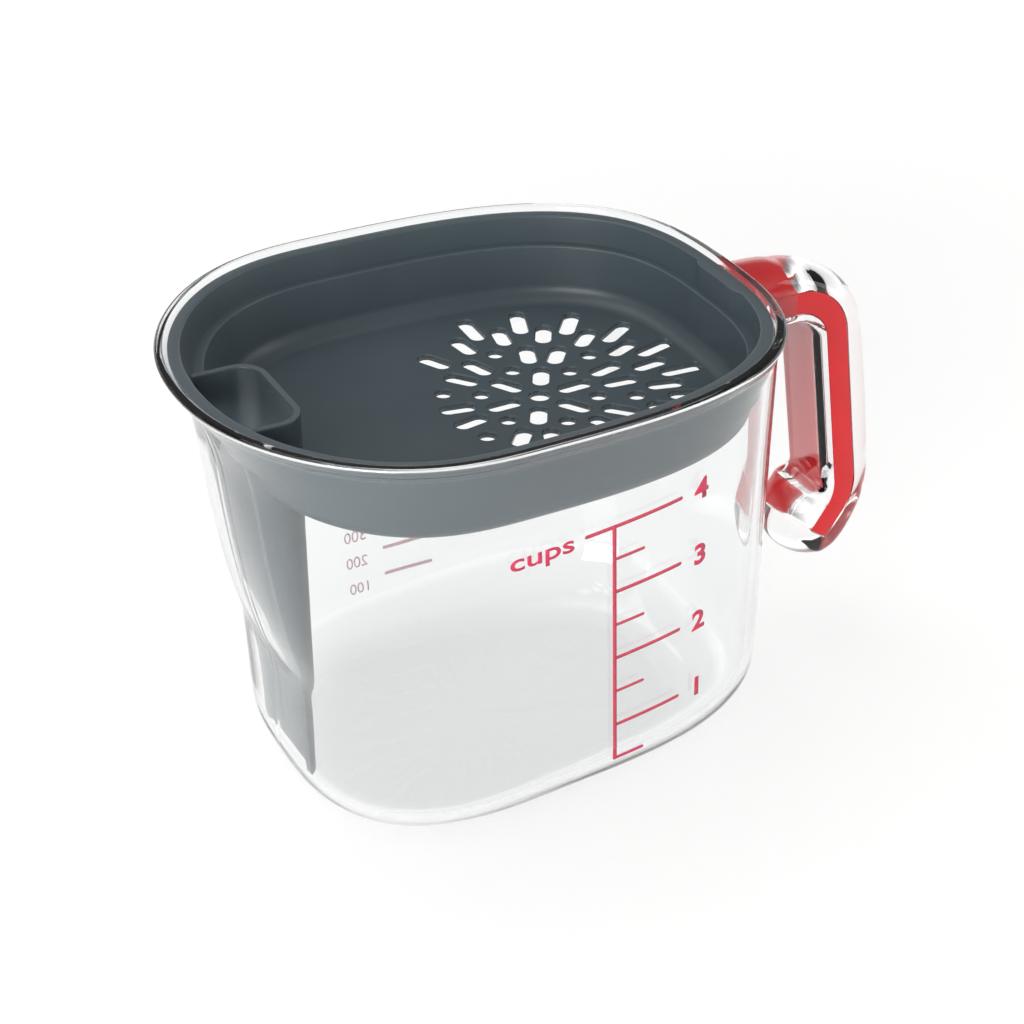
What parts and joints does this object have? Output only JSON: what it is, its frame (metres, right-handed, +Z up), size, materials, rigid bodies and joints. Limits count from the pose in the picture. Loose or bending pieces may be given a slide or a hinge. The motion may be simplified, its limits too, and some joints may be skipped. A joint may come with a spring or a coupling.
{
  "type": "gravy fat separator",
  "caption": "Clear gravy fat separator jug with a wide pouring spout, a hooked handle with a red core, printed measuring scales and a lift-out strainer tray with a pour channel.",
  "frame": {"origin": "centre of the flat base, on the surface the jug stands on", "axes": "+Z up, +X towards the handle, spout on -X, symmetric about XZ apart from the printed scales"},
  "size_m": [0.2018, 0.1278, 0.12],
  "materials": {
    "clear_plastic": "clear, polished",
    "clear_grip": "clear, polished",
    "red_core": "satin",
    "grey_plastic": "fine moulded grain",
    "ink": "screen-printed ink"
  },
  "bodies": {
    "jug": {"jug_body": "clear_plastic", "handle_grip": "clear_grip", "handle_core": "red_core", "cups_scale": "ink", "millilitre_scale": "ink"},
    "strainer": {"strainer_tray": "grey_plastic", "pour_channel": "grey_plastic"}
  },
  "joints": [
    {"name": "strainer_lift", "type": "slide", "parent": "jug", "child": "strainer", "axis": [0, 0, 1], "range_m": [0, 0.12]}
  ]
}
